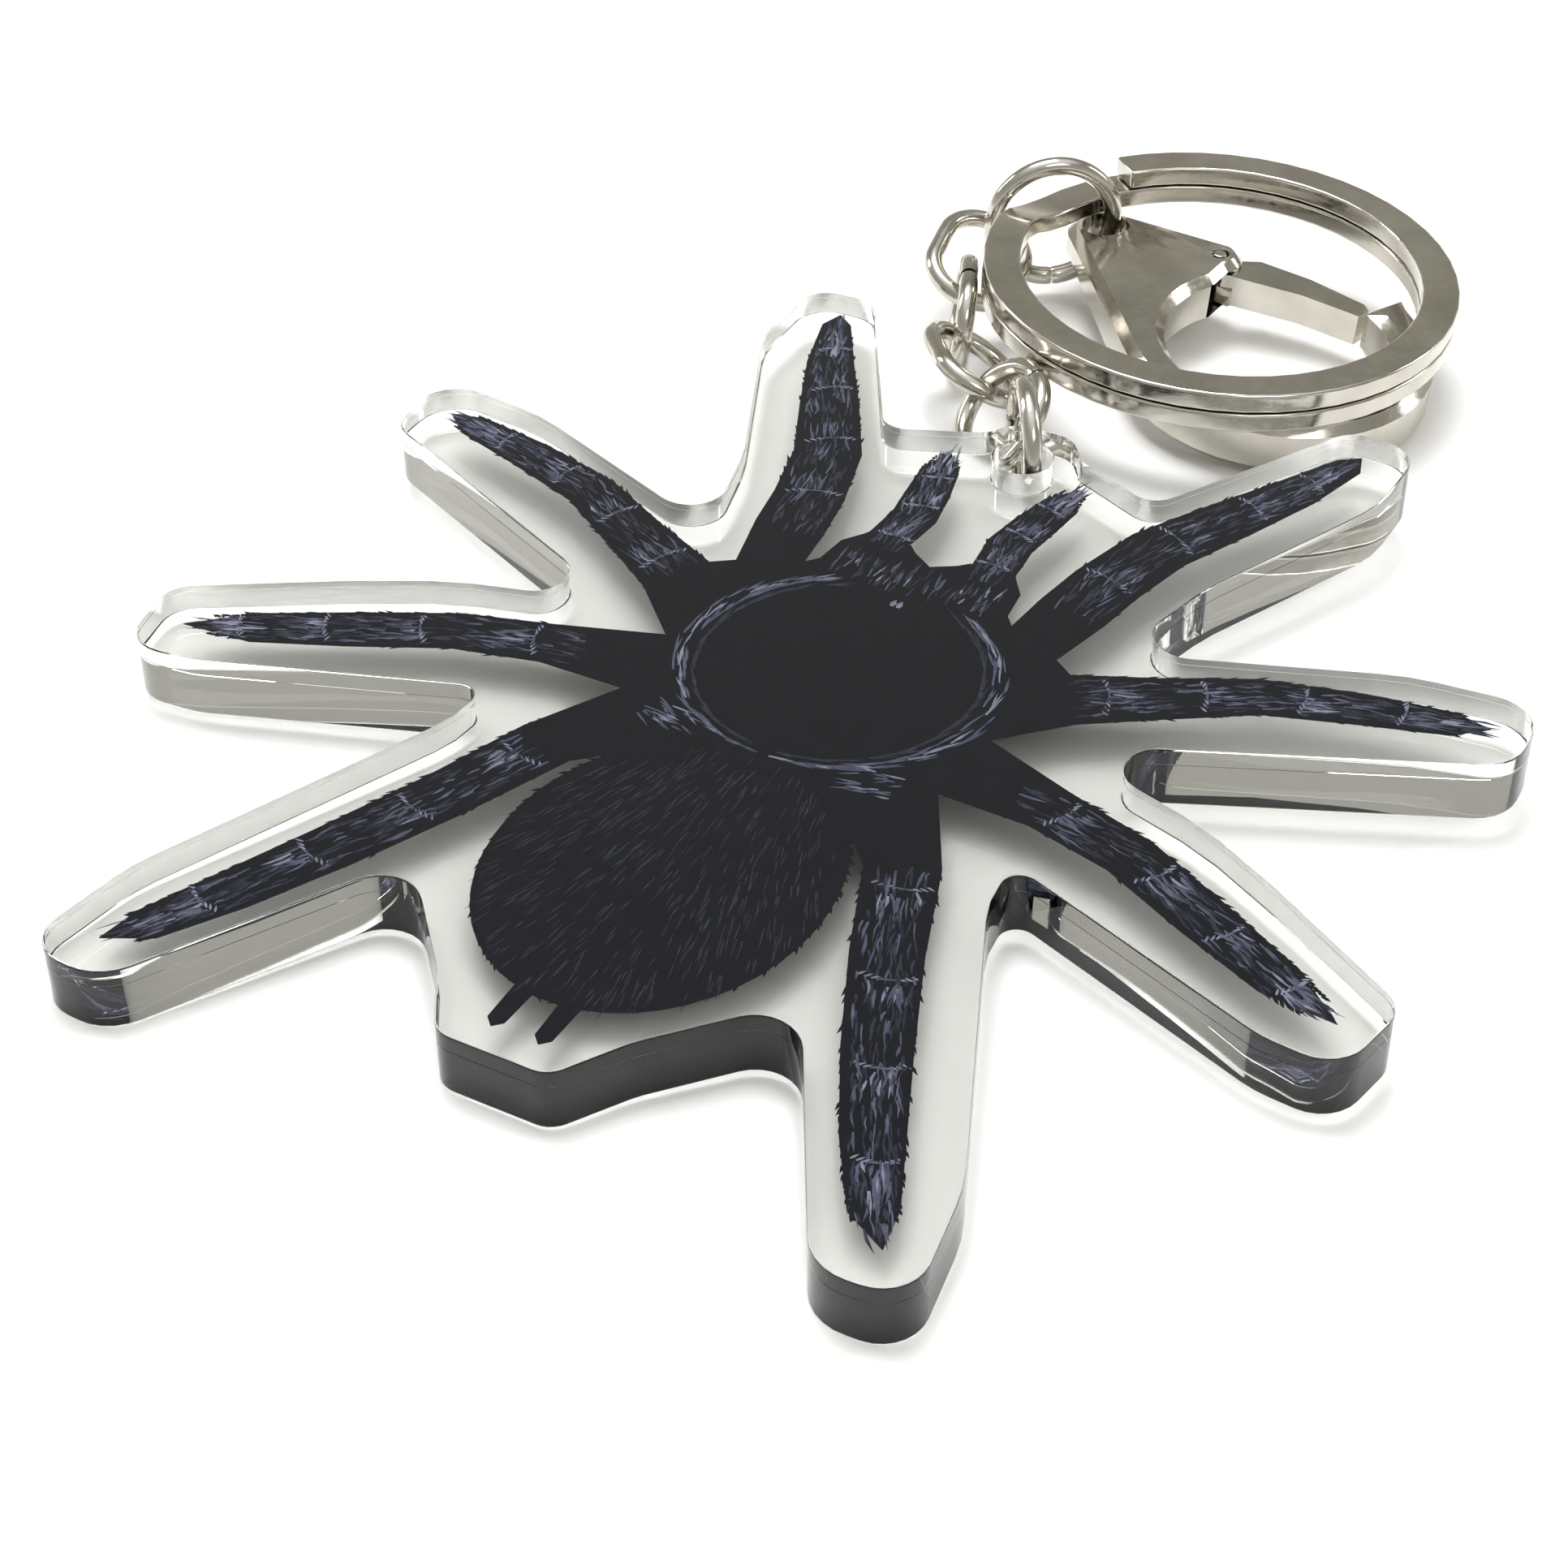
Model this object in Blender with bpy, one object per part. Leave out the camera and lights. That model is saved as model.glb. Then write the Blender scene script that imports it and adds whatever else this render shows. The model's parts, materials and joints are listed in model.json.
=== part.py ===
"""Clear acrylic tarantula key charm with its chain, split key ring and lobster clasp.

The acrylic charm lies flat. Its underside is the plane z = 0, its outline is symmetric
about x = 0, and the spider's head and the hanging hole point along +Y.
Lengths below are millimetres. They become metres when a mesh is made.
"""
import math

import bmesh
import bpy
from mathutils import Matrix, Vector
from mathutils.geometry import tessellate_polygon

MM = 0.001

# Acrylic: two clear sheets bonded over a printed layer.
BASE_BOTTOM, BASE_TOP = 0.0, 2.10
PRINT_BOTTOM, PRINT_TOP = 2.13, 2.23
COVER_BOTTOM, COVER_TOP = 2.26, 3.0
HOLE_CENTRE, HOLE_RADIUS = (0.0, 25.3), 1.5
ARC_STEP = 14.0

# Right half of the charm's outline, from the ear over the hole down to the abdomen:
# corner x, corner y, fillet radius.
OUTLINE_RIGHT = (
    (1.55, 28.0, 1.5), (2.6, 26.45, 0.8), (7.25, 24.45, 1.3), (13.3, 35.15, 1.6), (17.0, 35.0, 2.2),
    (16.9, 29.5, 6.0), (12.3, 19.3, 8.0), (10.6, 12.7, 3.2), (22.8, 17.35, 10.0), (29.0, 18.0, 2.3),
    (29.1, 13.3, 2.2), (14.3, 6.75, 1.5), (14.3, 4.55, 1.5), (18.9, 3.2, 10.0), (23.0, 1.0, 12.0),
    (30.2, -3.4, 1.6), (29.3, -7.9, 2.5), (25.8, -7.6, 5.0), (13.0, -2.9, 1.9), (13.0, -5.4, 6.0),
    (19.3, -20.3, 8.0), (20.2, -26.3, 2.7), (16.1, -26.6, 2.4), (9.2, -14.35, 1.9), (4.6, -19.5, 3.0),
    (2.6, -22.7, 1.3),
)

# Printed spider: right limbs from root to tip as x, y, width; the last point is the tip.
LIMBS_RIGHT = {
    "palp": ((2.75, 16.4, 2.2), (2.55, 18.6, 2.3), (2.85, 20.6, 2.2), (3.25, 22.8, 1.9), (3.5, 24.5, 0.0)),
    "leg_1": ((7.4, 15.1, 3.5), (7.85, 17.8, 3.5), (8.85, 21.6, 3.4), (10.9, 25.6, 3.0),
              (12.8, 29.3, 2.4), (14.2, 32.6, 1.5), (14.5, 33.6, 0.0)),
    "leg_2": ((10.2, 9.1, 3.6), (13.6, 11.0, 3.0), (17.4, 13.2, 2.6), (21.7, 14.5, 2.3),
              (25.6, 15.4, 1.7), (27.2, 15.8, 0.0)),
    "leg_3": ((12.6, 1.6, 2.9), (16.8, 0.4, 2.7), (21.1, -1.8, 2.6), (25.1, -3.8, 2.2), (28.1, -5.1, 0.0)),
    "leg_4": ((8.75, -4.7, 3.3), (10.65, -9.8, 3.1), (12.85, -14.9, 2.9), (14.9, -19.2, 2.6),
              (16.7, -22.6, 2.0), (17.9, -24.2, 0.0)),
}
JAW_NOTCH = (0.0, 15.2)
JAW_POINTS = ((1.1, 15.9), (1.6, 16.4))
JAW_SIDE = ((4.0, 16.2), (4.7, 15.2), (4.9, 13.4))
CROTCHES = {"leg_1": (5.4, 12.8), "leg_2": (8.3, 11.4), "leg_3": (8.2, 4.7), "leg_4": (7.9, 0.3)}
ABDOMEN_CENTRE, ABDOMEN_SEMI_X, ABDOMEN_SEMI_Y = (0.0, -9.57), 7.45, 9.15
ABDOMEN_START, ABDOMEN_END = 36.4, -78.0
SPINNERET = ((1.5, -20.6), (1.1, -21.0), (0.7, -20.6), (0.62, -18.7))

# Rings and chain links of round wire: centre, plane normal, long axis, length, width, wire.
LINKS = {
    "tab_jump_ring": ((-0.96, 27.54, 2.15), (0.838, 0.551, 0.0), (0, 0, 1), 7.0, 7.0, 1.0),
    "chain_link_1": ((-3.62, 30.57, 1.51), (-0.51, -0.507, 0.694), (-0.69, 0.724, 0.022), 6.57, 6.2, 1.0),
    "chain_link_2": ((-6.91, 34.18, 1.49), (0.369, 0.354, 0.859), (-0.664, 0.748, -0.023), 7.52, 5.7, 1.0),
    "chain_link_3": ((-9.8, 38.6, 1.39), (0.901, 0.416, -0.121), (-0.42, 0.907, -0.014), 7.51, 5.7, 1.0),
    "chain_link_4": ((-11.28, 43.65, 1.8), (0.395, -0.095, 0.914), (-0.141, 0.977, 0.163), 7.55, 5.7, 1.0),
    "end_ring": ((-8.78, 47.69, 2.88), (0.6, -0.8, 0.0), (0, 0, 1), 7.8, 7.8, 1.0),
}
LINK_STEPS, LINK_SIDES = 32, 10

# Split key ring: a flat strip wound for almost two turns.
RING_CENTRE, RING_NORMAL = (2.34, 44.46, 4.65), (0.043, 0.006, 0.999)
RING_OUTER, RING_INNER = 12.5, 10.55
STRIP_THICK, COIL_PITCH = 1.05, 1.13
UPPER_END, UPPER_START, LOWER_END = 140.0, -172.0, -532.0
RAMP_TURN = 24.0
RING_STEP = 7.5

# Lobster clasp, in its own plane: u runs from the eye to the hook, v across, w up.
CLASP_ORIGIN, CLASP_U, CLASP_UP = (-8.5, 50.1, 0.70), (0.905, -0.425, 0.0), (0.085, -0.030, 1.0)
CLASP_THICK, EYE_THICK, EDGE = 3.0, 1.95, 0.5
EYE, EYE_HOLE, EYE_BOSS = (2.2, 0.15), 1.3, 2.05
LOOP, LOOP_INNER, LOOP_OUTER = (16.25, 0.0), 6.0, 8.2
HOOK_TIP_ANGLE = 86.0
PIVOT, CHEEK_RADIUS, SLOT_RADIUS, SLOT_HEIGHT = (8.6, 2.7), 1.3, 1.5, 2.1
PIN_RADIUS, PIN_HOLE = 0.35, 0.5
HUB_RADIUS, HUB_HEIGHT = 1.0, 0.95
GATE_THICK = 1.8
SPRING_RADIUS, SPRING_WIRE, SPRING_TURNS, SPRING_PITCH = 0.78, 0.2, 2.0, 0.28

NICKEL = ((0.62, 0.60, 0.56, 1.0), 0.22, 1.0)
CLEAR = ((0.86, 0.87, 0.83, 1.0), 0.05, 0.0)
INK = ((0.03, 0.035, 0.05, 1.0), 0.45, 0.0)


def clear_scene():
    for old in list(bpy.data.objects):
        bpy.data.objects.remove(old, do_unlink=True)


def material(name, look):
    colour, roughness, metallic = look
    made = bpy.data.materials.new(name)
    made.use_nodes = True
    shader = made.node_tree.nodes["Principled BSDF"]
    shader.inputs["Base Color"].default_value = colour
    shader.inputs["Roughness"].default_value = roughness
    shader.inputs["Metallic"].default_value = metallic
    return made


def add_object(name, points, faces, look, origin=(0.0, 0.0, 0.0)):
    """One named object from millimetre points, with its origin at the given point."""
    shift = Vector(origin)
    mesh = bpy.data.meshes.new(name)
    mesh.from_pydata([(Vector(p) - shift) * MM for p in points], [], faces)
    body = bmesh.new()
    body.from_mesh(mesh)
    bmesh.ops.recalc_face_normals(body, faces=body.faces)
    body.to_mesh(mesh)
    body.free()
    made = bpy.data.objects.new(name, mesh)
    made.location = shift * MM
    mesh.materials.append(material(name, look))
    bpy.context.collection.objects.link(made)
    return made


def shade_round(made, angle=35.0):
    made.data.shade_smooth()
    made.data.set_sharp_from_angle(angle=math.radians(angle))


def arc(centre, radius, start, end, step=ARC_STEP):
    """Points on an arc from start to end degrees, both ends included."""
    count = max(1, math.ceil(abs(end - start) / step))
    turns = [math.radians(start + (end - start) * i / count) for i in range(count + 1)]
    return [(centre[0] + radius * math.cos(t), centre[1] + radius * math.sin(t)) for t in turns]


def rounded(corners):
    """A closed outline through (x, y, radius) corners, each corner turned into an arc."""
    outline = []
    for i, (x, y, radius) in enumerate(corners):
        here = Vector((x, y))
        back = Vector(corners[i - 1][:2]) - here
        ahead = Vector(corners[(i + 1) % len(corners)][:2]) - here
        half = back.angle(ahead) / 2
        reach = min(radius / math.tan(half), 0.49 * back.length, 0.49 * ahead.length)
        radius = reach * math.tan(half)
        middle = here + (back.normalized() + ahead.normalized()).normalized() * radius / math.sin(half)
        first = here + back.normalized() * reach - middle
        last = here + ahead.normalized() * reach - middle
        start = math.degrees(math.atan2(first.y, first.x))
        turn = math.degrees(math.atan2(last.y, last.x)) - start
        turn = (turn + 180) % 360 - 180
        outline += arc(middle, radius, start, start + turn)
    return outline


def mirrored(right):
    """A closed outline from its right half, listed from top to bottom."""
    left = [(-p[0],) + tuple(p[1:]) for p in reversed(right)]
    return list(right) + [p for p in left if abs(p[0]) > 1e-6]


def prism(name, outline, bottom, top, look, hole=None):
    """A straight-sided plate of the outline, with one optional hole."""
    loops = [outline] + ([hole] if hole else [])
    flat = [p for loop in loops for p in loop]
    count = len(flat)
    caps = tessellate_polygon([[Vector((x, y, 0)) for x, y in loop] for loop in loops])
    points = [(x, y, bottom) for x, y in flat] + [(x, y, top) for x, y in flat]
    faces = [tuple(cap) for cap in caps] + [tuple(i + count for i in reversed(cap)) for cap in caps]
    start = 0
    for loop in loops:
        n = len(loop)
        for i in range(n):
            a, b = start + i, start + (i + 1) % n
            faces.append((a, b, b + count, a + count))
        start += n
    return add_object(name, points, faces, look)


def acrylic_sheet(name, bottom, top):
    hole = arc(HOLE_CENTRE, HOLE_RADIUS, 0, 345, 15)
    return prism(name, rounded(mirrored(OUTLINE_RIGHT)), bottom, top, CLEAR, hole)


def limb_sides(limb):
    """The two sides of a limb: from root to tip on its left, and back on its right."""
    left, right = [], []
    for i, (x, y, width) in enumerate(limb[:-1]):
        before, after = limb[max(i - 1, 0)], limb[i + 1]
        along = Vector((after[0] - before[0], after[1] - before[1])).normalized()
        across = Vector((-along.y, along.x)) * width / 2
        left.append((x + across.x, y + across.y))
        right.append((x - across.x, y - across.y))
    return left + [limb[-1][:2]] + right[::-1]


def spider_outline():
    half = [JAW_NOTCH, *JAW_POINTS]
    half += limb_sides(LIMBS_RIGHT["palp"]) + list(JAW_SIDE)
    for limb in ("leg_1", "leg_2", "leg_3", "leg_4"):
        half += [CROTCHES[limb], *limb_sides(LIMBS_RIGHT[limb])]
    turns = arc((0, 0), 1.0, ABDOMEN_START, ABDOMEN_END, 8)
    cx, cy = ABDOMEN_CENTRE
    half += [(cx + ABDOMEN_SEMI_X * c, cy + ABDOMEN_SEMI_Y * s) for c, s in turns]
    return mirrored(half + list(SPINNERET))


def tube(path, radius, sides, closed, normal_hint):
    """Points and faces of a round tube along a path."""
    points, faces = [], []
    count = len(path)
    for i, here in enumerate(path):
        before = path[i - 1] if closed or i else path[0]
        after = path[(i + 1) % count] if closed or i < count - 1 else path[-1]
        along = (after - before).normalized()
        out = (normal_hint - along * normal_hint.dot(along)).normalized()
        side = along.cross(out)
        for k in range(sides):
            turn = 2 * math.pi * k / sides
            points.append(here + (out * math.cos(turn) + side * math.sin(turn)) * radius)
    for i in range(count if closed else count - 1):
        a, b = i * sides, (i + 1) % count * sides
        faces += [(a + k, a + (k + 1) % sides, b + (k + 1) % sides, b + k) for k in range(sides)]
    if not closed:
        faces += [tuple(range(sides)), tuple(range((count - 1) * sides, count * sides))[::-1]]
    return points, faces


def link_path(centre, normal, along, length, width, wire):
    """Centre line of a link: two half circles joined by straight sides."""
    normal = Vector(normal).normalized()
    along = Vector(along)
    along = (along - normal * along.dot(normal)).normalized()
    across = normal.cross(along)
    radius = (width - wire) / 2
    straight = (length - width) / 2
    path = []
    for i in range(LINK_STEPS):
        turn = 2 * math.pi * (i + 0.5) / LINK_STEPS
        reach = radius * math.cos(turn) + math.copysign(straight, math.cos(turn))
        path.append(Vector(centre) + along * reach + across * radius * math.sin(turn))
    return path, normal


def wire_link(name):
    centre, normal, along, length, width, wire = LINKS[name]
    path, normal = link_path(centre, normal, along, length, width, wire)
    points, faces = tube(path, wire / 2, LINK_SIDES, True, normal)
    made = add_object(name, points, faces, NICKEL, centre)
    shade_round(made, 60)
    return made


def strip_level(turn):
    """Height of the strip's middle below the ring's top plane, at a winding angle."""
    along = min(max((UPPER_START - turn) / RAMP_TURN, 0.0), 1.0)
    return -STRIP_THICK / 2 - COIL_PITCH * along * along * (3 - 2 * along)


def split_ring():
    normal = Vector(RING_NORMAL).normalized()
    across = (Vector((1, 0, 0)) - normal * normal.x).normalized()
    upward = normal.cross(across)
    count = math.ceil((UPPER_END - LOWER_END) / RING_STEP)
    half = STRIP_THICK / 2
    points, faces = [], []
    for i in range(count + 1):
        turn = UPPER_END + (LOWER_END - UPPER_END) * i / count
        out = across * math.cos(math.radians(turn)) + upward * math.sin(math.radians(turn))
        middle = strip_level(turn)
        for radius, level in ((RING_INNER, -half), (RING_OUTER, -half), (RING_OUTER, half), (RING_INNER, half)):
            points.append(Vector(RING_CENTRE) + out * radius + normal * (middle + level))
    for i in range(count):
        a = 4 * i
        faces += [(a + k, a + (k + 1) % 4, a + 4 + (k + 1) % 4, a + 4 + k) for k in range(4)]
    faces += [(0, 1, 2, 3), (4 * count + 3, 4 * count + 2, 4 * count + 1, 4 * count)]
    made = add_object("split_ring", points, faces, NICKEL, RING_CENTRE)
    shade_round(made)
    return made


def clasp_matrix():
    """From the clasp's own u, v, w millimetres to world metres."""
    up = Vector(CLASP_UP).normalized()
    along = Vector(CLASP_U)
    along = (along - up * along.dot(up)).normalized()
    turned = Matrix((along, up.cross(along), up)).transposed().to_4x4()
    return Matrix.Translation(Vector(CLASP_ORIGIN) * MM) @ turned


def tangent_line(centre_a, radius_a, centre_b, radius_b, side):
    """Direction angle of the common outer tangent's normal for two circles."""
    gap = Vector(centre_b) - Vector(centre_a)
    heading = math.degrees(math.atan2(gap.y, gap.x))
    lean = math.degrees(math.asin((radius_b - radius_a) / gap.length))
    return heading + side * (90 + lean)


def clasp_outline():
    """Eye boss, lower edge, hook round the far end, inner edge, cheeks and upper edge."""
    low = tangent_line(EYE, EYE_BOSS, LOOP, LOOP_OUTER, -1)
    high = tangent_line(EYE, EYE_BOSS, PIVOT, CHEEK_RADIUS, 1)
    outline = arc(EYE, EYE_BOSS, high, low + 360)
    outline += arc(LOOP, LOOP_OUTER, low, HOOK_TIP_ANGLE, 9)
    outline += arc(LOOP, LOOP_INNER, HOOK_TIP_ANGLE, -188.0, 10)
    return outline + arc(PIVOT, CHEEK_RADIUS, -20.0, high)


def clasp_top(u):
    """The clasp is thinner at its eye than at its hook."""
    along = min(max((u - 4.6) / 2.6, 0.0), 1.0)
    return EYE_THICK + (CLASP_THICK - EYE_THICK) * along * along * (3 - 2 * along)


def inset(outline, depth):
    """The outline moved inwards by a small depth, corner by corner."""
    moved = []
    for i, (x, y) in enumerate(outline):
        before, after = Vector(outline[i - 1]), Vector(outline[(i + 1) % len(outline)])
        along = (after - before).normalized()
        moved.append((x - along.y * depth, y + along.x * depth))
    return moved


def chamfered(name, outline, bottom, top_of, edge, look):
    """A plate with chamfered edges, whose top height may vary along u."""
    inner = inset(outline, edge)
    count = len(outline)
    rings = [[(x, y, bottom) for x, y in inner], [(x, y, bottom + edge) for x, y in outline],
             [(x, y, top_of(x) - edge) for x, y in outline], [(x, y, top_of(x)) for x, y in inner]]
    points = [p for ring in rings for p in ring]
    caps = tessellate_polygon([[Vector((x, y, 0)) for x, y in inner]])
    faces = [tuple(cap) for cap in caps] + [tuple(i + 3 * count for i in reversed(cap)) for cap in caps]
    for level in range(3):
        for i in range(count):
            a, b = level * count + i, level * count + (i + 1) % count
            faces.append((a, b, b + count, a + count))
    return add_object(name, points, faces, look)


def cutter(name, outline, bottom, top):
    made = prism(name, outline, bottom, top, NICKEL)
    made.hide_render = True
    made.display_type = "WIRE"
    return made


def boolean(made, other, operation):
    step = made.modifiers.new(other.name, "BOOLEAN")
    step.operation = operation
    step.solver = "EXACT"
    step.object = other


def settle(made, tools, matrix):
    """Apply the piece's booleans in its own plane, then place it."""
    bpy.context.view_layer.update()
    graph = bpy.context.evaluated_depsgraph_get()
    mesh = bpy.data.meshes.new_from_object(made.evaluated_get(graph))
    made.modifiers.clear()
    made.data = mesh
    for tool in tools:
        bpy.data.objects.remove(tool, do_unlink=True)
    made.matrix_world = matrix
    return made


def clasp_body(matrix):
    body = chamfered("clasp_body", clasp_outline(), 0.0, clasp_top, EDGE, NICKEL)
    middle = CLASP_THICK / 2
    slot = arc(PIVOT, SLOT_RADIUS, 60, 300, 20)
    slot += [(PIVOT[0] + 4, PIVOT[1] - 4), (PIVOT[0] + 4, PIVOT[1] + 4)]
    tools = [
        cutter("eye_cutter", arc(EYE, EYE_HOLE, 0, 345, 15), -1, CLASP_THICK + 1),
        cutter("slot_cutter", slot, middle - SLOT_HEIGHT / 2, middle + SLOT_HEIGHT / 2),
        cutter("pin_cutter", arc(PIVOT, PIN_HOLE, 0, 330, 30), -1, CLASP_THICK + 1),
    ]
    for tool in tools:
        boolean(body, tool, "DIFFERENCE")
    settle(body, tools, matrix)
    shade_round(body, 30)


def gate_outline():
    """The lever from just outside the spring to its blunt tip at the hook."""
    u, v = PIVOT
    root = arc(PIVOT, 1.15, -32.0, 62.0, 24)
    upper = [(u + 1.2, v + 2.0), (u + 3.9, v + 3.15), (u + 7.2, v + 4.0), (u + 7.75, v + 3.8)]
    lower = [(u + 7.85, v + 2.95), (u + 4.8, v + 1.7), (u + 2.2, v + 0.1)]
    return root + upper + lower


def clasp_gate(matrix):
    middle = CLASP_THICK / 2
    half = GATE_THICK / 2
    gate = prism("clasp_gate", gate_outline(), middle - half, middle + half, NICKEL)
    u, v = PIVOT
    tongue = arc(PIVOT, HUB_RADIUS, 75, 315, 20) + [(u + 1.6, v - 0.5), (u + 1.5, v + 1.2)]
    hub = cutter("hub", tongue, middle - half, middle - half + HUB_HEIGHT)
    bore = cutter("bore", arc(PIVOT, PIN_HOLE, 0, 330, 30), -1, CLASP_THICK + 1)
    boolean(gate, hub, "UNION")
    boolean(gate, bore, "DIFFERENCE")
    settle(gate, [hub, bore], Matrix.Identity(4))
    gate.data.transform(Matrix.Translation(-Vector((u, v, 0)) * MM))
    gate.matrix_world = matrix @ Matrix.Translation(Vector((u, v, 0)) * MM)
    shade_round(gate, 30)


def clasp_gate_pin(matrix):
    circle = arc(PIVOT, PIN_RADIUS, 0, 330, 30)
    pin = prism("clasp_gate_pin", circle, 0.05, CLASP_THICK - 0.05, NICKEL)
    pin.matrix_world = matrix
    shade_round(pin)


def clasp_spring(matrix):
    """A torsion spring round the pin, above the gate's hub, with two short legs."""
    base = CLASP_THICK / 2 + 0.28
    steps = 14
    count = int(SPRING_TURNS * steps)
    path = []
    for i in range(count + 1):
        turn = 2 * math.pi * i / steps
        point = Vector((math.cos(turn), math.sin(turn), 0)) * SPRING_RADIUS
        path.append(Vector((*PIVOT, base)) + point + Vector((0, 0, SPRING_PITCH * i / steps)))
    path.insert(0, path[0] + Vector((0.0, -0.45, 0.0)))
    path.append(path[-1] + Vector((0.0, 0.45, 0.0)))
    points, faces = tube(path, SPRING_WIRE / 2, 6, False, Vector((0, 0, 1)))
    spring = add_object("clasp_spring", points, faces, NICKEL)
    spring.matrix_world = matrix
    shade_round(spring, 60)


def main():
    clear_scene()
    acrylic_sheet("base_sheet", BASE_BOTTOM, BASE_TOP)
    acrylic_sheet("cover_sheet", COVER_BOTTOM, COVER_TOP)
    prism("printed_spider", spider_outline(), PRINT_BOTTOM, PRINT_TOP, INK)
    for name in LINKS:
        wire_link(name)
    split_ring()
    matrix = clasp_matrix()
    clasp_body(matrix)
    clasp_gate(matrix)
    clasp_gate_pin(matrix)
    clasp_spring(matrix)


main()
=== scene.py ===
"""Looks of the clear acrylic tarantula key charm: acrylic, print, nickel chain, ring and clasp."""
import json
import math
import random

import bmesh
import bpy
import numpy as np
from mathutils import Matrix, Vector
from mathutils.geometry import tessellate_polygon


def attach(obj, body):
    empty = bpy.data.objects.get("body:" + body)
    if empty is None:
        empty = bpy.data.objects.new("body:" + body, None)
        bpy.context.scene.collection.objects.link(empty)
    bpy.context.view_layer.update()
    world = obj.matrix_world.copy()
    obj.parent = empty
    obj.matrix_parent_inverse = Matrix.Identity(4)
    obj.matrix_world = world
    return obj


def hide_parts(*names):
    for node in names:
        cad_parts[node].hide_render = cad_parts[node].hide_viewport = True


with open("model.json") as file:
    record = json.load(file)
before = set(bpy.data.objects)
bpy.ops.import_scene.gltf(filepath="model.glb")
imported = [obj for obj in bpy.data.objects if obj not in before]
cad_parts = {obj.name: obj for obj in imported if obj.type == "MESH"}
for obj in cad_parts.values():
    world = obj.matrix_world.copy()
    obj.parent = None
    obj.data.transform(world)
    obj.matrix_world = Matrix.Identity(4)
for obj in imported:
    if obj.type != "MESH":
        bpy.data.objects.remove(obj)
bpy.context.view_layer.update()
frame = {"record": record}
random.seed(11)

MM = 0.001
BODY_OF = {node: body for body, nodes in frame["record"]["behaviour"]["bodies"].items() for node in nodes}

# Acrylic edge: rounding of the polished arris, and the groove at the bond between the two sheets.
ARRIS, BOND_GROOVE, BOND_HALF = 0.07, 0.012, 0.015
ARRIS_STEPS = (0, 30, 60, 90)
# Brush strokes start just under the print's top face and stand up to this much above it.
STROKE_SINK, STROKE_RISE = 0.01, 0.02
# Wire rings and links: steps round the ring, sides of the wire, half the gap at the butt joint.
WIRE_STEPS, WIRE_SIDES, BUTT_GAP = 112, 20, 0.03
# Rounded edges of the stamped and cast metal, in millimetres.
STRIP_ROUND, BODY_ROUND, GATE_ROUND, PIN_ROUND = 0.16, 0.14, 0.10, 0.05

# Printed right limbs: root to tip as x, y, width in millimetres, mirrored for the left side.
LIMBS = {
    "palp": ((2.7, 13.2, 2.0), (2.75, 16.4, 2.2), (2.55, 18.6, 2.3), (2.85, 20.6, 2.2), (3.25, 22.8, 1.9),
             (3.5, 24.5, 0.8)),
    "leg_1": ((6.9, 10.8, 3.0), (7.4, 15.1, 3.5), (7.85, 17.8, 3.5), (8.85, 21.6, 3.4), (10.9, 25.6, 3.0),
              (12.8, 29.3, 2.4), (14.4, 33.2, 1.0)),
    "leg_2": ((7.3, 7.0, 3.4), (10.2, 9.1, 3.6), (13.6, 11.0, 3.0), (17.4, 13.2, 2.6), (21.7, 14.5, 2.3),
              (25.6, 15.4, 1.7), (27.0, 15.8, 0.9)),
    "leg_3": ((7.2, 2.3, 3.2), (12.6, 1.6, 2.9), (16.8, 0.4, 2.7), (21.1, -1.8, 2.6), (25.1, -3.8, 2.2),
              (27.9, -5.0, 1.0)),
    "leg_4": ((6.2, -1.5, 3.2), (8.75, -4.7, 3.3), (10.65, -9.8, 3.1), (12.85, -14.9, 2.9),
              (14.9, -19.2, 2.6), (16.7, -22.6, 2.0), (17.7, -24.0, 0.9)),
}
# Where each limb's segments meet, as a share of its length.
JOINTS = {"palp": (0.3, 0.55, 0.78), "leg_1": (0.3, 0.5, 0.7, 0.86), "leg_2": (0.22, 0.42, 0.62, 0.82),
          "leg_3": (0.26, 0.5, 0.7, 0.88), "leg_4": (0.2, 0.42, 0.62, 0.82)}
ABDOMEN = ((0.0, -9.57), 7.45, 9.15)
CARAPACE = ((0.0, 6.1), 6.5, 6.6)
JAW_BAND = (12.5, 14.2, 4.2)
EYE_OFFSET, EYE_Y = 0.16, 11.55

# Ink tones as dark and light linear colours, and the size of their break-up.
INK_BLACK = ((0.0020, 0.0034, 0.0095), (0.0040, 0.0060, 0.0150), 0.9)
INK_SLATE = ((0.022, 0.025, 0.045), (0.055, 0.061, 0.100), 2.0)
INK_GREY = ((0.085, 0.092, 0.150), (0.170, 0.180, 0.275), 2.0)
INK_PALE = ((0.24, 0.255, 0.37), (0.42, 0.44, 0.59), 2.0)
NICKEL = ((0.50, 0.475, 0.42), (0.66, 0.635, 0.575), 0.10, 0.24)
STEEL = ((0.42, 0.41, 0.38), (0.55, 0.54, 0.50), 0.22, 0.34)
PAPER = ((0.895, 0.895, 0.89), (0.905, 0.905, 0.90))

# The room's colour by height above the horizon: behind the charm and on the viewer's side.
FAR_SKY = ((0.0, (0.62, 0.61, 0.56)), (0.25, (0.44, 0.43, 0.375)), (0.72, (0.30, 0.295, 0.265)),
           (0.86, (1.0, 1.0, 0.98)), (1.0, (1.15, 1.15, 1.13)))
NEAR_SKY = ((0.0, (0.70, 0.69, 0.65)), (0.22, (0.50, 0.49, 0.46)), (0.5, (0.42, 0.415, 0.39)),
            (0.75, (0.55, 0.55, 0.53)), (1.0, (1.15, 1.15, 1.13)))
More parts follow.
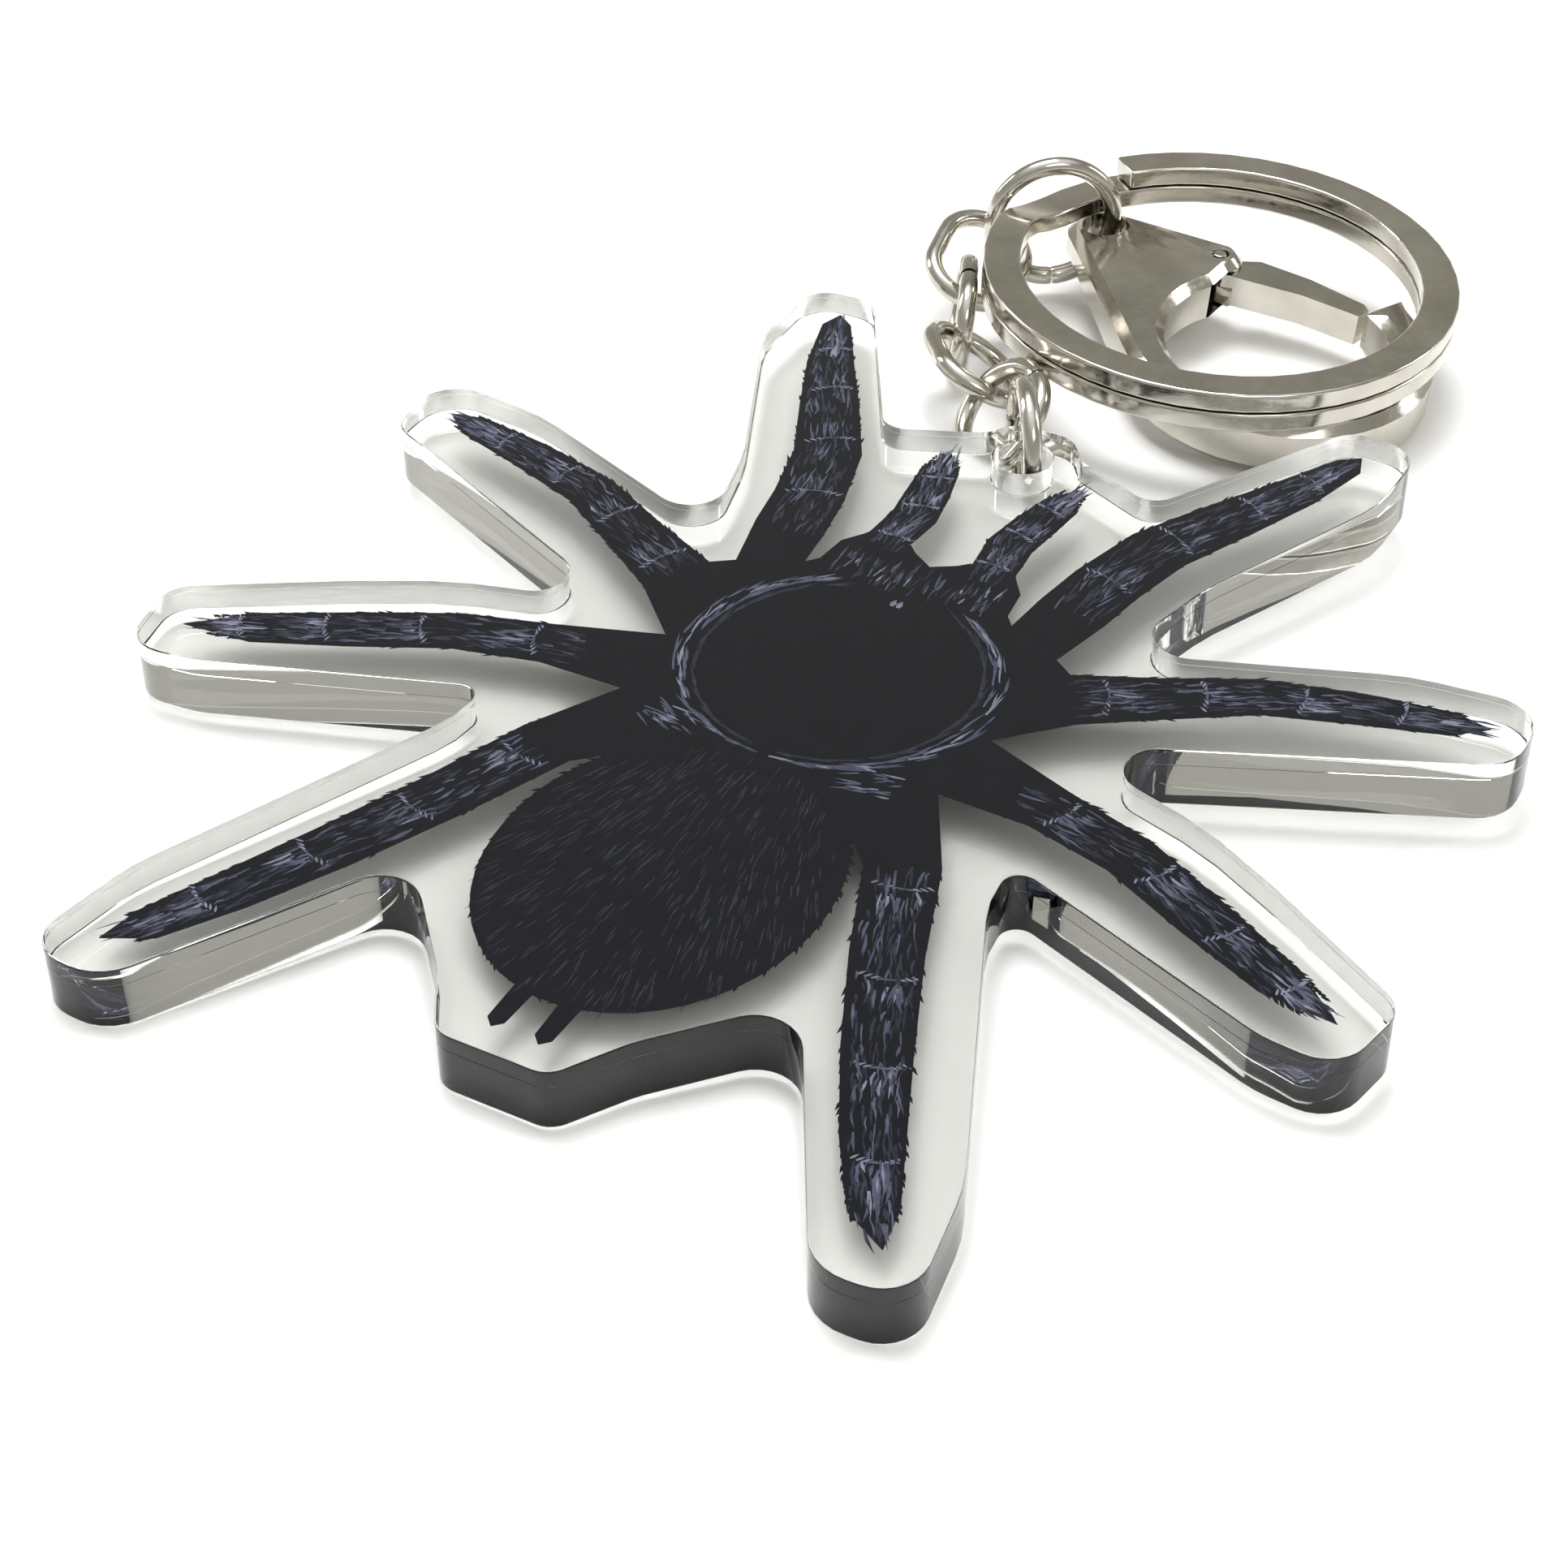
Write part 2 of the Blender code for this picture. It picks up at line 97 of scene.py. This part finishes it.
# Area lights: name, place, aim, size (metres) and power (watts).
LIGHTS = (("key", (-0.10, 0.12, 0.52), (0, 0.01, 0), (0.26, 0.24), 2.3),
          ("fill", (0.32, -0.20, 0.42), (0, 0.0, 0), (0.22, 0.16), 0.4),
          ("right_strip", (0.34, 0.34, 0.22), (0, 0.03, 0), (0.08, 0.2), 0.5),
          ("left_strip", (-0.42, 0.02, 0.20), (0, 0.03, 0), (0.08, 0.2), 0.5))
FLOOR_SIZE = 1.6

FLOOR_SLOPE, FLOOR_AT_ORIGIN = -1.2 / 51.0, -0.62
CAMERA_AT = (53.22, -95.2, 88.0)
CAMERA_RIGHT, CAMERA_UP = (0.8767, 0.4810, -0.0047), (-0.2981, 0.5511, 0.7794)
CAMERA_LENS = 72.85


# ---------------------------------------------------------------- node helpers
def new_material(name):
    made = bpy.data.materials.new(name)
    made.use_nodes = True
    return made, made.node_tree.nodes, made.node_tree.links


def principled(nodes, colour, roughness, metallic=0.0):
    shader = nodes["Principled BSDF"]
    shader.inputs["Base Color"].default_value = (*colour, 1.0)
    shader.inputs["Roughness"].default_value = roughness
    shader.inputs["Metallic"].default_value = metallic
    return shader


def object_noise(nodes, links, scale, detail=3.0, stretch=(1, 1, 1)):
    """Noise in object millimetres, optionally stretched."""
    coords = nodes.new("ShaderNodeTexCoord")
    mapping = nodes.new("ShaderNodeMapping")
    mapping.inputs["Scale"].default_value = [1000 * s for s in stretch]
    noise = nodes.new("ShaderNodeTexNoise")
    noise.inputs["Scale"].default_value = scale
    noise.inputs["Detail"].default_value = detail
    links.new(coords.outputs["Object"], mapping.inputs["Vector"])
    links.new(mapping.outputs["Vector"], noise.inputs["Vector"])
    return noise


def ramp(nodes, links, source, stops):
    """A colour ramp over a factor: (position, grey or colour) stops."""
    made = nodes.new("ShaderNodeValToRGB")
    elements = made.color_ramp.elements
    for i, (position, value) in enumerate(stops):
        element = elements[i] if i < 2 else elements.new(position)
        element.position = position
        colour = value if isinstance(value, tuple) else (value,) * 3
        element.color = (*colour, 1.0)
    links.new(source, made.inputs["Fac"])
    return made


def bump(nodes, links, height, shader, strength, distance):
    made = nodes.new("ShaderNodeBump")
    made.inputs["Strength"].default_value = strength
    made.inputs["Distance"].default_value = distance
    links.new(height, made.inputs["Height"])
    links.new(made.outputs["Normal"], shader.inputs["Normal"])


def nickel(name, dark, light, rough_low, rough_high):
    """Bright nickel plate with faint clouding, fine pits and tool marks."""
    made, nodes, links = new_material(name)
    shader = principled(nodes, light, rough_low, 1.0)
    cloud = object_noise(nodes, links, 0.35, 4.0)
    tint = ramp(nodes, links, cloud.outputs["Fac"], ((0.3, dark), (0.75, light)))
    links.new(tint.outputs["Color"], shader.inputs["Base Color"])
    grain = object_noise(nodes, links, 2.2, 5.0, (1, 1, 2.5))
    rough = ramp(nodes, links, grain.outputs["Fac"], ((0.35, rough_low), (0.8, rough_high)))
    links.new(rough.outputs["Color"], shader.inputs["Roughness"])
    bump(nodes, links, grain.outputs["Fac"], shader, 0.10, 0.00003)
    return made


def clear_acrylic():
    """Polished acrylic with a very faint laser ripple."""
    made, nodes, links = new_material("clear_acrylic")
    shader = principled(nodes, (0.985, 0.985, 0.965), 0.015)
    shader.inputs["Transmission Weight"].default_value = 1.0
    shader.inputs["IOR"].default_value = 1.49
    ripple = object_noise(nodes, links, 0.16, 2.0)
    bump(nodes, links, ripple.outputs["Fac"], shader, 0.12, 0.0001)
    return made


def ink(name, dark, light, scale, stretch=(1, 1, 1)):
    """Printed ink whose tone breaks up like brush hair."""
    made, nodes, links = new_material(name)
    shader = principled(nodes, dark, 0.5)
    shader.inputs["Specular IOR Level"].default_value = 0.04
    noise = object_noise(nodes, links, scale, 5.0, stretch)
    tint = ramp(nodes, links, noise.outputs["Fac"], ((0.35, dark), (0.72, light)))
    links.new(tint.outputs["Color"], shader.inputs["Base Color"])
    return made


def white_floor():
    made, nodes, links = new_material("paper_floor")
    shader = principled(nodes, PAPER[0], 0.55)
    fibre = object_noise(nodes, links, 0.8, 4.0)
    tint = ramp(nodes, links, fibre.outputs["Fac"], ((0.2, PAPER[0]), (0.8, PAPER[1])))
    links.new(tint.outputs["Color"], shader.inputs["Base Color"])
    return made


# ---------------------------------------------------------------- mesh helpers
def add_mesh(name, points, faces, look):
    mesh = bpy.data.meshes.new(name)
    mesh.from_pydata([Vector(p) * MM for p in points], [], faces)
    shell = bmesh.new()
    shell.from_mesh(mesh)
    bmesh.ops.recalc_face_normals(shell, faces=shell.faces)
    shell.to_mesh(mesh)
    shell.free()
    made = bpy.data.objects.new(name, mesh)
    mesh.materials.append(look)
    bpy.context.collection.objects.link(made)
    return made


def shade(made, angle):
    made.data.shade_smooth()
    made.data.set_sharp_from_angle(angle=math.radians(angle))


def crease(made, heights):
    """Sharp level edges at these heights, so that the flat faces beside them stay optically flat."""
    mesh = made.data
    for edge in mesh.edges:
        low, high = sorted(mesh.vertices[i].co.z / MM for i in edge.vertices)
        if high - low < 1e-4 and min(abs(low - height) for height in heights) < 1e-4:
            edge.use_edge_sharp = True


def flatten_normals(made):
    """Large faces keep their own normals; only the rounded edges blend."""
    made.modifiers.new("normals", "WEIGHTED_NORMAL").keep_sharp = True


def declare(piece, nodes):
    """Ride on the CAD node's body and stand for that node, whose CAD parts are hidden."""
    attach(piece, BODY_OF[nodes[0]])
    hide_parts(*nodes)


def cad_points(node):
    mesh = bpy.data.objects[node].data
    points = np.empty(len(mesh.vertices) * 3)
    mesh.vertices.foreach_get("co", points)
    return points.reshape(-1, 3) / MM


def apply_modifiers(made):
    bpy.context.view_layer.update()
    graph = bpy.context.evaluated_depsgraph_get()
    mesh = bpy.data.meshes.new_from_object(made.evaluated_get(graph))
    made.modifiers.clear()
    made.data = mesh


def copy_of(node, name, look):
    """A welded copy of a CAD node's mesh, with its flat faces merged."""
    shell = bmesh.new()
    shell.from_mesh(bpy.data.objects[node].data)
    bmesh.ops.remove_doubles(shell, verts=shell.verts, dist=1e-7)
    bmesh.ops.dissolve_limit(shell, angle_limit=math.radians(0.5), verts=shell.verts, edges=shell.edges)
    mesh = bpy.data.meshes.new(name)
    shell.to_mesh(mesh)
    shell.free()
    mesh.materials.clear()
    mesh.materials.append(look)
    made = bpy.data.objects.new(name, mesh)
    bpy.context.collection.objects.link(made)
    return made


def round_edges(made, width, segments, angle):
    bevel = made.modifiers.new("edges", "BEVEL")
    bevel.width = width * MM
    bevel.segments = segments
    bevel.limit_method = "ANGLE"
    bevel.angle_limit = math.radians(angle)
    bevel.use_clamp_overlap = True
    apply_modifiers(made)


def rim_loops(node):
    """The ordered outlines of a plate's top face: the outer one first, then its hole."""
    shell = bmesh.new()
    shell.from_mesh(bpy.data.objects[node].data)
    bmesh.ops.remove_doubles(shell, verts=shell.verts, dist=1e-7)
    top = max(v.co.z for v in shell.verts)
    follow = {}
    for edge in shell.edges:
        if min(v.co.z for v in edge.verts) < top - 1e-6:
            continue
        caps = [f for f in edge.link_faces if abs(f.normal.z) > 0.9]
        if len(caps) == 1:
            loop = next(l for l in edge.link_loops if l.face == caps[0])
            follow[loop.vert.index] = (loop.link_loop_next.vert.index, loop.vert.co.copy())
    loops = []
    while follow:
        start = here = next(iter(follow))
        loop = []
        while here in follow:
            here, place = follow.pop(here)
            loop.append((place.x / MM, place.y / MM))
        loops.append(loop)
    shell.free()
    return sorted(loops, key=len, reverse=True)


def inset(loop, depth):
    """The loop moved to its left by a small depth: inwards, and outwards round a hole."""
    moved = []
    for i, (x, y) in enumerate(loop):
        before, after = Vector(loop[i - 1]), Vector(loop[(i + 1) % len(loop)])
        along = (after - before).normalized()
        moved.append((x - along.y * depth, y + along.x * depth))
    return moved


def loft(name, loops, levels, look):
    """A plate whose wall follows (height, inset) levels and whose ends are capped."""
    points, faces, starts = [], [], []
    for height, depth in levels:
        starts.append(len(points))
        for loop in loops:
            points += [(x, y, height) for x, y in inset(loop, depth)]
    for low, high in zip(starts, starts[1:]):
        offset = 0
        for loop in loops:
            n = len(loop)
            for i in range(n):
                a, b = offset + i, offset + (i + 1) % n
                faces.append((low + a, low + b, high + b, high + a))
            offset += n
    caps = tessellate_polygon([[Vector((x, y, 0)) for x, y in inset(loop, levels[0][1])] for loop in loops])
    for start in (starts[0], starts[-1]):
        faces += [tuple(start + i for i in cap) for cap in caps]
    return add_mesh(name, points, faces, look)


# ---------------------------------------------------------------- acrylic
def acrylic(look):
    bottom = float(cad_points("base_sheet")[:, 2].min())
    bond = (float(cad_points("base_sheet")[:, 2].max()) + float(cad_points("cover_sheet")[:, 2].min())) / 2
    top = float(cad_points("cover_sheet")[:, 2].max())
    turn = [(1 - math.cos(math.radians(a)), 1 - math.sin(math.radians(a))) for a in ARRIS_STEPS]
    levels = [(bottom + ARRIS * rise, ARRIS * run) for rise, run in turn]
    levels += [(bond - BOND_HALF, 0.0), (bond, BOND_GROOVE), (bond + BOND_HALF, 0.0)]
    levels += [(top - ARRIS * rise, ARRIS * run) for rise, run in reversed(turn)]
    made = loft("acrylic_body", rim_loops("base_sheet"), levels, look)
    shade(made, 38)
    rounding = (1, 2, 8, 9)  # the levels inside the two rounded edges, which stay smooth
    crease(made, [height for i, (height, _) in enumerate(levels) if i not in rounding])
    declare(made, ["base_sheet", "cover_sheet"])


# ---------------------------------------------------------------- print
class Strokes:
    """Many thin brush strokes gathered into one closed-body mesh."""

    def __init__(self, level):
        self.points, self.faces, self.level = [], [], level

    def add(self, x, y, heading, length, width, bend=0.0):
        along = Vector((math.cos(heading), math.sin(heading)))
        across = Vector((-along.y, along.x))
        root = Vector((x, y))
        middle = root + along * length * 0.45 + across * bend
        tip = root + along * length
        outline = [root - across * width * 0.3, middle - across * width * 0.5, tip,
                   middle + across * width * 0.5, root + across * width * 0.3]
        low = self.level - STROKE_SINK
        high = self.level + STROKE_RISE * random.uniform(0.35, 1.0)
        start = len(self.points)
        self.points += [(p.x, p.y, low) for p in outline] + [(p.x, p.y, high) for p in outline]
        self.faces.append(tuple(start + i for i in range(5)))
        self.faces.append(tuple(start + 5 + i for i in reversed(range(5))))
        for i in range(5):
            j = (i + 1) % 5
            self.faces.append((start + i, start + 5 + i, start + 5 + j, start + j))

    def finish(self, name, look):
        made = add_mesh(name, self.points, self.faces, look)
        declare(made, ["printed_spider"])


def along_limb(limb, share):
    """Point, heading and width at a share of a limb's length."""
    spans = [math.dist(a[:2], b[:2]) for a, b in zip(limb, limb[1:])]
    left = share * sum(spans)
    for (a, b), span in zip(zip(limb, limb[1:]), spans):
        if left <= span or b is limb[-1]:
            t = min(left / span, 1.0)
            x, y, width = (a[k] + (b[k] - a[k]) * t for k in range(3))
            return x, y, math.atan2(b[1] - a[1], b[0] - a[0]), width
        left -= span


def limb_length(limb):
    return sum(math.dist(a[:2], b[:2]) for a, b in zip(limb, limb[1:]))


def mirror(x, y, heading, side):
    return (x, y, heading) if side > 0 else (-x, y, math.pi - heading)


def stroke_on(strokes, limb, side, share, offset, tilt, length, width, bend=0.0):
    """A stroke at a share along the limb and an offset across it, in half widths."""
    x, y, heading, broad = along_limb(limb, share)
    x -= math.sin(heading) * offset * broad / 2
    y += math.cos(heading) * offset * broad / 2
    x, y, heading = mirror(x, y, heading + tilt, side)
    strokes.add(x, y, heading, length, width, bend * side)


def fur_edges(strokes):
    """Short dark hairs along both edges of each limb and round the abdomen."""
    for name, limb in LIMBS.items():
        count = int(limb_length(limb) / 0.15)
        longest = 0.45 if name == "palp" else 0.8
        for side in (1, -1):
            for i in range(count):
                for edge in (1, -1):
                    share = 0.12 + 0.83 * (i + random.random()) / count
                    reach = random.uniform(0.3, 1.0) * longest * (1 - 0.6 * share ** 4)
                    stroke_on(strokes, limb, side, share, edge * random.uniform(0.80, 0.92),
                              edge * random.uniform(0.12, 0.5), reach, 0.17)
    (cx, cy), rx, ry = ABDOMEN
    for i in range(190):
        turn = math.radians(-218 + 256 * (i + random.random()) / 190)
        x, y = cx + 0.97 * rx * math.cos(turn), cy + 0.97 * ry * math.sin(turn)
        outward = math.atan2(math.sin(turn), math.cos(turn))
        heading = outward - math.copysign(random.uniform(0.8, 1.3), math.cos(turn))
        strokes.add(x, y, heading, random.uniform(0.3, 0.75), 0.2)


def hair_layers(slate, mid, light):
    """Lighter brush hairs that follow each limb, thicker towards the tips."""
    for name, limb in LIMBS.items():
        reach = limb_length(limb)
        for side in (1, -1):
            for i in range(int(reach * 9)):
                share = random.uniform(0.16, 0.97)
                layer = slate if random.random() < 0.72 else mid
                stroke_on(layer, limb, side, share, random.uniform(-0.78, 0.78), random.uniform(-0.22, 0.22),
                          random.uniform(0.5, 1.6), random.uniform(0.06, 0.16), random.uniform(-0.08, 0.08))
            for joint in JOINTS[name]:
                joint_mark(mid, light, limb, side, joint)
            for i in range(7):
                share = random.uniform(0.83, 0.93)
                stroke_on(light if i % 2 else mid, limb, side, share, random.uniform(-0.35, 0.35),
                          random.uniform(-0.1, 0.1), random.uniform(0.9, 1.9), random.uniform(0.1, 0.2))


def joint_mark(mid, light, limb, side, joint):
    """A pale crescent across a joint, with a fan of hairs running on from it."""
    for i in range(9):
        offset = -0.72 + 1.44 * i / 8
        bulge = 0.018 * (1 - offset * offset)
        stroke_on(light if abs(offset) > 0.2 else mid, limb, side, joint + bulge, offset,
                  math.pi / 2 - offset * 0.8, 0.42, 0.11)
    for i in range(10):
        offset = random.uniform(-0.55, 0.55)
        layer = light if random.random() < 0.25 else mid
        stroke_on(layer, limb, side, joint + random.uniform(0.01, 0.05), offset, random.uniform(-0.25, 0.25),
                  random.uniform(0.6, 1.5), random.uniform(0.08, 0.17), random.uniform(-0.1, 0.1))


def carapace_rim(slate, mid, light, side):
    """Curved strokes in rings round one side of the carapace."""
    (cx, cy), rx, ry = CARAPACE
    for ring, layer, count in ((1.0, slate, 70), (1.07, mid, 46), (1.12, light, 26), (1.17, mid, 26)):
        for i in range(count):
            turn = math.radians(random.uniform(-88, 58))
            x, y = cx + rx * ring * math.cos(turn), cy + ry * min(ring, 1.06) * math.sin(turn)
            x, y, heading = mirror(x, y, turn + math.pi / 2 + random.uniform(-0.15, 0.15), side)
            layer.add(x, y, heading, random.uniform(0.7, 1.7), random.uniform(0.07, 0.15))


def leg_root_marks(mid, light, side):
    """Pale ticks where the back legs meet the carapace."""
    for i in range(26):
        x, y = random.uniform(4.0, 6.4), random.uniform(-1.2, 0.6)
        x, y, heading = mirror(x, y, math.radians(200), side)
        layer = light if i % 5 == 0 else mid
        layer.add(x, y, heading + random.uniform(-0.3, 0.3), random.uniform(0.5, 1.2), 0.11)


def jaw_band(slate, mid, light):
    """Short upright hairs across the front of the head."""
    low, high, half = JAW_BAND
    for i in range(90):
        x = random.uniform(-half, half)
        layer = light if random.random() < 0.08 else (mid if random.random() < 0.35 else slate)
        layer.add(x, random.uniform(low, high), math.pi / 2 + random.uniform(-0.2, 0.2),
                  random.uniform(0.5, 1.3), random.uniform(0.07, 0.14))


def abdomen_sheen(slate):
    """Fine dark hairs that run back over the abdomen and fan out to its sides."""
    (cx, cy), rx, ry = ABDOMEN
    for i in range(520):
        turn, reach = random.uniform(0, 2 * math.pi), math.sqrt(random.uniform(0, 0.86))
        x, y = cx + rx * reach * math.cos(turn), cy + ry * reach * math.sin(turn)
        heading = -math.pi / 2 + 0.5 * (x - cx) / rx + random.uniform(-0.12, 0.12)
        slate.add(x, y, heading, random.uniform(0.6, 1.5), random.uniform(0.04, 0.09))


def body_marks(slate, mid, light):
    """Carapace rim, eyes, jaw band and the soft sheen of the abdomen."""
    for side in (1, -1):
        carapace_rim(slate, mid, light, side)
        leg_root_marks(mid, light, side)
        for x in (-EYE_OFFSET, EYE_OFFSET):
            light.add(x * side, EYE_Y, math.pi / 2, 0.55, 0.3)
    jaw_band(slate, mid, light)
    abdomen_sheen(slate)


def printed_spider():
    level = float(cad_points("printed_spider")[:, 2].max())
    base = ink("ink_black", *INK_BLACK)
    body = copy_of("printed_spider", "spider_silhouette", base)
    shade(body, 30)
    declare(body, ["printed_spider"])
    fur, slate, mid, light = (Strokes(level) for _ in range(4))
    fur_edges(fur)
    hair_layers(slate, mid, light)
    body_marks(slate, mid, light)
    fur.finish("spider_fur_edge", base)
    slate.finish("spider_slate_hairs", ink("ink_slate", *INK_SLATE))
    mid.finish("spider_grey_hairs", ink("ink_grey", *INK_GREY))
    light.finish("spider_pale_hairs", ink("ink_pale", *INK_PALE))


# ---------------------------------------------------------------- chain and rings
def measure_ring(node):
    """Centre, plane normal, long axis, length, width and wire of a CAD ring or link."""
    points = cad_points(node)
    centre = (points.max(0) + points.min(0)) / 2
    centre = points.mean(0) if np.linalg.norm(points.mean(0) - centre) < 0.3 else centre
    _, _, axes = np.linalg.svd(points - points.mean(0), full_matrices=False)
    spans = [np.ptp(points @ axis) for axis in axes]
    along, across, normal = (Vector(axis) for axis in axes)
    return Vector(centre), normal, along, across, spans


def wire_path(centre, along, across, length, width, wire, steps, gap):
    """Centre line of a link, with the butt joint left open by a small gap on one side."""
    radius, straight = (width - wire) / 2, (length - width) / 2
    path = []
    for i in range(steps + 1):
        turn = math.pi / 2 + gap / radius + (2 * math.pi - 2 * gap / radius) * i / steps
        blend = max(-1.0, min(1.0, math.cos(turn) * 9))
        reach = radius * math.cos(turn) + straight * blend
        path.append(centre + along * reach + across * radius * math.sin(turn))
    return path


def swept(name, path, profile_at, normal, look):
    """A closed body swept along an open path; profile_at gives (out, up) offsets."""
    points, faces = [], []
    sides = len(profile_at(0))
    for i, here in enumerate(path):
        along = (path[min(i + 1, len(path) - 1)] - path[max(i - 1, 0)]).normalized()
        up = (normal - along * normal.dot(along)).normalized()
        out = along.cross(up)
        points += [here + out * a + up * b for a, b in profile_at(i)]
    for i in range(len(path) - 1):
        a, b = i * sides, (i + 1) * sides
        faces += [(a + k, a + (k + 1) % sides, b + (k + 1) % sides, b + k) for k in range(sides)]
    faces.append(tuple(range(sides)))
    faces.append(tuple(range(len(points) - sides, len(points)))[::-1])
    return add_mesh(name, points, faces, look)


def wire_ring(node, look):
    """A bent wire ring or link in place of a CAD one, slightly chamfered at its two butted ends."""
    centre, normal, along, across, (length, width, wire) = measure_ring(node)

    def profile(i):
        radius = wire / 2 * (0.93 if i in (0, WIRE_STEPS) else 1.0)
        turns = [2 * math.pi * k / WIRE_SIDES for k in range(WIRE_SIDES)]
        return [(radius * math.cos(turn), radius * math.sin(turn)) for turn in turns]

    path = wire_path(centre, along, across, length, width, wire, WIRE_STEPS, BUTT_GAP)
    made = swept(node + "_wire", path, profile, normal, look)
    shade(made, 50)
    declare(made, [node])


def split_ring(look):
    made = copy_of("split_ring", "split_ring_coil", look)
    round_edges(made, STRIP_ROUND, 3, 55)
    shade(made, 32)
    flatten_normals(made)
    declare(made, ["split_ring"])


def clasp(look, wire_look):
    for node, width, finish, slot in (("clasp_body", BODY_ROUND, look, "nickel_plate"),
                                      ("clasp_gate", GATE_ROUND, look, "nickel_plate"),
                                      ("clasp_gate_pin", PIN_ROUND, look, "spring_wire"),
                                      ("clasp_spring", 0.0, wire_look, "spring_wire")):
        made = copy_of(node, node + "_cast", finish)
        if width:
            round_edges(made, width, 3, 24)
        shade(made, 34)
        flatten_normals(made)
        declare(made, [node])


# ---------------------------------------------------------------- stage
def stage():
    """A white paper floor that tilts to touch the charm's front edge and the clasp."""
    half = FLOOR_SIZE / MM / 2
    corners = [(-half, -half, 0), (half, -half, 0), (half, half, 0), (-half, half, 0)]
    floor = add_mesh("floor", corners, [(0, 1, 2, 3)], white_floor())
    floor.location = (0, 0, FLOOR_AT_ORIGIN * MM)
    floor.rotation_euler = (math.atan(FLOOR_SLOPE), 0, 0)


def area_light(name, place, aim, size, power):
    light = bpy.data.lights.new(name, "AREA")
    light.shape = "RECTANGLE"
    light.size, light.size_y = size
    light.energy = power
    made = bpy.data.objects.new(name, light)
    made.location = place
    made.rotation_euler = (Vector(aim) - Vector(place)).to_track_quat("-Z", "Y").to_euler()
    bpy.context.collection.objects.link(made)


def world_light():
    """A pale room: warm grey behind the charm, darker towards the viewer, white overhead."""
    world = bpy.data.worlds.new("studio")
    world.use_nodes = True
    bpy.context.scene.world = world
    nodes, links = world.node_tree.nodes, world.node_tree.links
    coords = nodes.new("ShaderNodeTexCoord")
    split = nodes.new("ShaderNodeSeparateXYZ")
    links.new(coords.outputs["Generated"], split.inputs["Vector"])
    far = ramp(nodes, links, split.outputs["Z"], FAR_SKY)
    near = ramp(nodes, links, split.outputs["Z"], NEAR_SKY)
    side = nodes.new("ShaderNodeMapRange")
    side.inputs["From Min"].default_value = -0.35
    side.inputs["From Max"].default_value = 0.25
    links.new(split.outputs["Y"], side.inputs["Value"])
    blend = nodes.new("ShaderNodeMix")
    blend.data_type = "RGBA"  # its colour sockets are inputs 6 and 7 and output 2
    links.new(side.outputs["Result"], blend.inputs[0])
    links.new(near.outputs["Color"], blend.inputs[6])
    links.new(far.outputs["Color"], blend.inputs[7])
    links.new(blend.outputs[2], nodes["Background"].inputs["Color"])


def lights():
    world_light()
    for light in LIGHTS:
        area_light(*light)


def camera():
    made = bpy.data.objects.new("camera", bpy.data.cameras.new("camera"))
    made.data.lens = CAMERA_LENS
    made.data.sensor_width = 36.0
    made.data.clip_start = 0.005
    right, up = Vector(CAMERA_RIGHT).normalized(), Vector(CAMERA_UP).normalized()
    turned = Matrix((right, up, right.cross(up))).transposed().to_4x4()
    made.matrix_world = Matrix.Translation(Vector(CAMERA_AT) * MM) @ turned
    bpy.context.collection.objects.link(made)
    bpy.context.scene.camera = made


# ---------------------------------------------------------------- build
camera()
acrylic(clear_acrylic())
printed_spider()
plate = nickel("nickel_plate", *NICKEL)
for link in ("tab_jump_ring", "chain_link_1", "chain_link_2", "chain_link_3", "chain_link_4", "end_ring"):
    wire_ring(link, plate)
split_ring(plate)
clasp(plate, nickel("spring_steel", *STEEL))
stage()
lights()
bpy.context.scene.view_settings.view_transform = "Standard"
